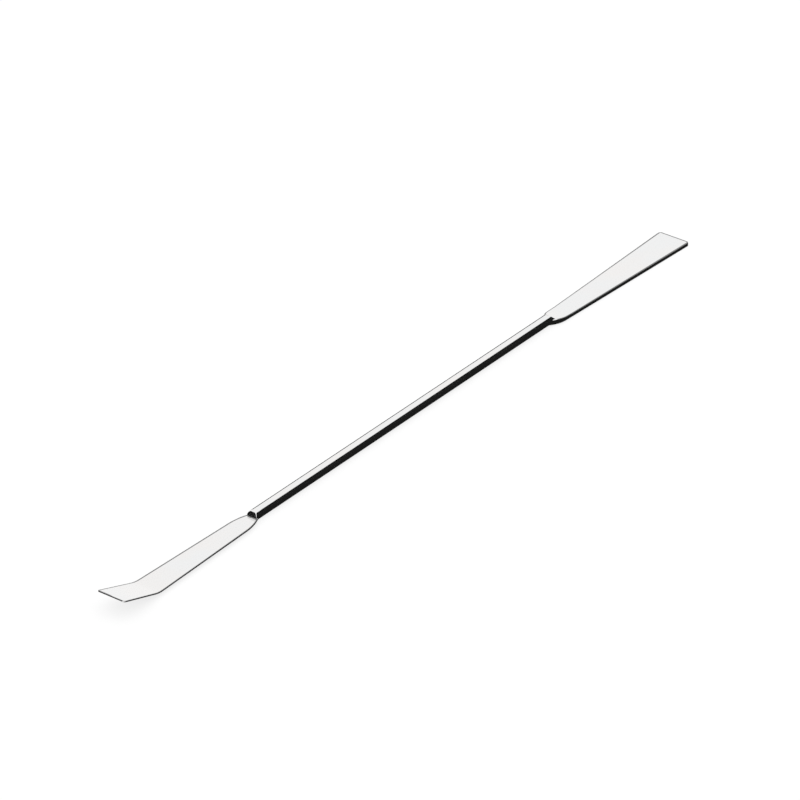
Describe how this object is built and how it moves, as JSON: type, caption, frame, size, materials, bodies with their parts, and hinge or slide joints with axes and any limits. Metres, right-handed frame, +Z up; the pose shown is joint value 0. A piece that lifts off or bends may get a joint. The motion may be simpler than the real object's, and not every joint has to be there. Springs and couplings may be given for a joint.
{
  "type": "lab spatula",
  "caption": "Double-ended steel lab spatula: a round shank with a flat square-ended blade and a thinner blade whose tip is turned up, for scooping and scraping powders.",
  "frame": {"origin": "middle of the overall length, on the plane that the spatula lies on, under the shank", "axes": "+X along the shank towards the flat blade, +Y across the blades, +Z up out of the flat blade's upper face"},
  "size_m": [0.1518, 0.0062, 0.0036],
  "materials": {
    "polished_steel": "bright polished stainless steel with fine polishing lines along its length"
  },
  "bodies": {
    "root": {"spatula": "polished_steel"}
  },
  "joints": []
}
